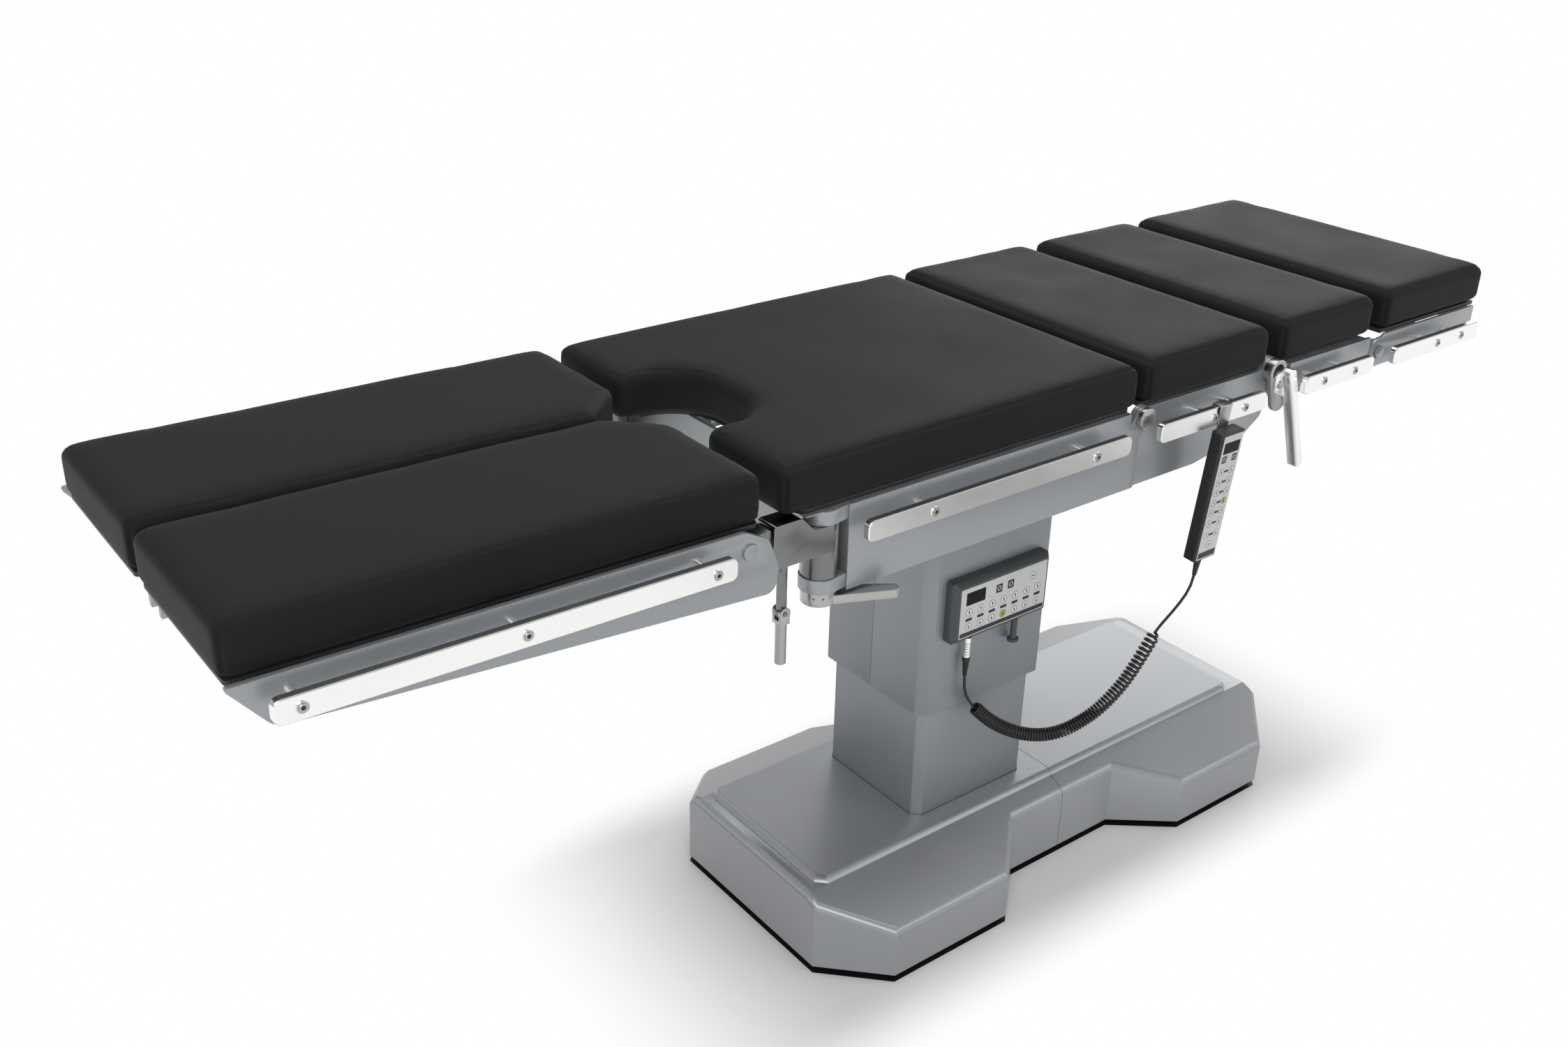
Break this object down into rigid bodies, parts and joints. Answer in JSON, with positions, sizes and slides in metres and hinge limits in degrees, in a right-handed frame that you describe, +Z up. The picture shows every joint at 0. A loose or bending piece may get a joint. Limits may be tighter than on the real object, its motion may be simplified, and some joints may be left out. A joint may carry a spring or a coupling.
{
  "type": "operating table",
  "caption": "Powered operating table: telescopic column on a waisted base, two-way tilting and sliding top with folding back, head and spreading leg sections, accessory rails and hand control",
  "frame": {"origin": "on the floor, under the middle of the base", "axes": "+X towards the head end, +Y towards the far side, away from the control box, +Z up"},
  "size_m": [2.1164, 0.6245, 0.9032],
  "materials": {
    "frame_paint": "satin silver-grey paint",
    "base_paint": "satin pale silver-grey paint",
    "column_metal": "satin silver-grey",
    "chassis_steel": "dark primer",
    "bright_steel": "brushed stainless",
    "pad_cover": "matte coated charcoal upholstery",
    "board_laminate": "dark laminate",
    "guide_plastic": "moulded",
    "box_plastic": "fine grain light grey",
    "panel_foil": "printed membrane",
    "cord_black": "satin black",
    "foot_rubber": "matte"
  },
  "bodies": {
    "base": {"floor_feet": "foot_rubber", "base_chassis": "chassis_steel", "base_cover_leg_end": "base_paint", "base_cover_head_end": "base_paint", "lower_column": "column_metal", "lift_ram_tube": "chassis_steel"},
    "lift": {"lift_ram": "bright_steel", "column_shroud": "column_metal", "column_guide": "guide_plastic", "column_head": "frame_paint", "control_box": "box_plastic", "control_panel": "panel_foil", "cord_plug": "cord_black", "socket_cap": "cord_black", "cord_lead_box": "cord_black", "cord_curl": "cord_black"},
    "cross": {"tilt_cross": "chassis_steel"},
    "carriage": {"slide_carriage": "frame_paint"},
    "seat": {"seat_frame": "frame_paint", "hip_brackets": "frame_paint", "back_pivot_pins": "bright_steel", "seat_board": "board_laminate", "seat_cushion": "pad_cover", "seat_rails": "bright_steel"},
    "lower_back": {"lower_back_frame": "frame_paint", "lower_back_hinges": "frame_paint", "lower_back_board": "board_laminate", "lower_back_cushion": "pad_cover", "lower_back_rails": "bright_steel"},
    "upper_back": {"upper_back_frame": "frame_paint", "upper_back_board": "board_laminate", "upper_back_cushion": "pad_cover", "upper_back_rails": "bright_steel"},
    "head": {"head_frame": "frame_paint", "head_board": "board_laminate", "head_cushion": "pad_cover", "head_rails": "bright_steel"},
    "handset": {"handset_body": "box_plastic", "handset_panel": "panel_foil", "handset_hook": "bright_steel", "cord_lead_handset": "cord_black"},
    "back_lever_near_body": {"back_lever_near": "bright_steel"},
    "leg_arm_near_body": {"leg_arm_near": "bright_steel"},
    "leg_handle_near_body": {"leg_handle_near": "bright_steel"},
    "clamp_lever_near_body": {"clamp_lever_near": "bright_steel"},
    "leg_near": {"leg_frame_near": "frame_paint", "leg_board_near": "board_laminate", "leg_cushion_near": "pad_cover", "leg_rail_near": "bright_steel"},
    "back_lever_far_body": {"back_lever_far": "bright_steel"},
    "leg_arm_far_body": {"leg_arm_far": "bright_steel"},
    "leg_handle_far_body": {"leg_handle_far": "bright_steel"},
    "clamp_lever_far_body": {"clamp_lever_far": "bright_steel"},
    "leg_far": {"leg_frame_far": "frame_paint", "leg_board_far": "board_laminate", "leg_cushion_far": "pad_cover", "leg_rail_far": "bright_steel"}
  },
  "joints": [
    {"name": "column_lift", "type": "slide", "parent": "base", "child": "lift", "axis": [0, 0, 1], "range_m": [-0.185, 0.1]},
    {"name": "long_tilt", "type": "hinge", "parent": "lift", "child": "cross", "pos_m": [-0.151, 0, 0.738], "axis": [0, 1, 0], "range_deg": [-25, 25]},
    {"name": "lateral_tilt", "type": "hinge", "parent": "cross", "child": "carriage", "pos_m": [-0.151, 0, 0.738], "axis": [1, 0, 0], "range_deg": [-20, 20]},
    {"name": "table_slide", "type": "slide", "parent": "carriage", "child": "seat", "axis": [1, 0, 0], "range_m": [0, 0.28]},
    {"name": "lower_back_fold", "type": "hinge", "parent": "seat", "child": "lower_back", "pos_m": [-0.0315, 0, 0.8145], "axis": [0, -1, 0], "range_deg": [-20, 75], "deforming": ["lower_back_cushion"]},
    {"name": "upper_back_fold", "type": "hinge", "parent": "lower_back", "child": "upper_back", "pos_m": [0.256, 0, 0.822], "axis": [0, -1, 0], "range_deg": [-30, 45], "deforming": ["upper_back_cushion"]},
    {"name": "head_fold", "type": "hinge", "parent": "upper_back", "child": "head", "pos_m": [0.527, 0, 0.7965], "axis": [0, -1, 0], "range_deg": [-90, 45], "deforming": ["head_cushion"]},
    {"name": "handset_lift", "type": "slide", "parent": "lower_back", "child": "handset", "axis": [0, -0.0832, 0.9965], "range_m": [0, 0.06], "deforming": ["cord_curl", "cord_lead_box", "cord_lead_handset"]},
    {"name": "leg_spread_near", "type": "hinge", "parent": "seat", "child": "leg_arm_near_body", "pos_m": [-0.585, -0.237, 0.77], "axis": [0, 0, 1], "range_deg": [0, 90]},
    {"name": "leg_pitch_near", "type": "hinge", "parent": "leg_arm_near_body", "child": "leg_near", "pos_m": [-0.7135, -0.245, 0.8109], "axis": [0, -1, 0], "range_deg": [-15, 90]},
    {"name": "leg_clamp_near", "type": "hinge", "parent": "seat", "child": "clamp_lever_near_body", "pos_m": [-0.585, -0.237, 0.703], "axis": [0, 0, 1], "range_deg": [0, 45]},
    {"name": "grip_fold_near", "type": "hinge", "parent": "leg_arm_near_body", "child": "leg_handle_near_body", "pos_m": [-0.647, -0.244, 0.7], "axis": [0, 1, 0], "range_deg": [0, 90]},
    {"name": "back_release_near", "type": "hinge", "parent": "lower_back", "child": "back_lever_near_body", "pos_m": [0.259, -0.27, 0.803], "axis": [0, -1, 0], "range_deg": [0, 30]},
    {"name": "leg_spread_far", "type": "hinge", "parent": "seat", "child": "leg_arm_far_body", "pos_m": [-0.585, 0.237, 0.77], "axis": [0, 0, -1], "range_deg": [0, 90]},
    {"name": "leg_pitch_far", "type": "hinge", "parent": "leg_arm_far_body", "child": "leg_far", "pos_m": [-0.7135, 0.245, 0.8109], "axis": [0, -1, 0], "range_deg": [-15, 90]},
    {"name": "leg_clamp_far", "type": "hinge", "parent": "seat", "child": "clamp_lever_far_body", "pos_m": [-0.585, 0.237, 0.703], "axis": [0, 0, -1], "range_deg": [0, 45]},
    {"name": "grip_fold_far", "type": "hinge", "parent": "leg_arm_far_body", "child": "leg_handle_far_body", "pos_m": [-0.647, 0.244, 0.7], "axis": [0, 1, 0], "range_deg": [0, 90]},
    {"name": "back_release_far", "type": "hinge", "parent": "lower_back", "child": "back_lever_far_body", "pos_m": [0.259, 0.27, 0.803], "axis": [0, -1, 0], "range_deg": [0, 30]}
  ]
}
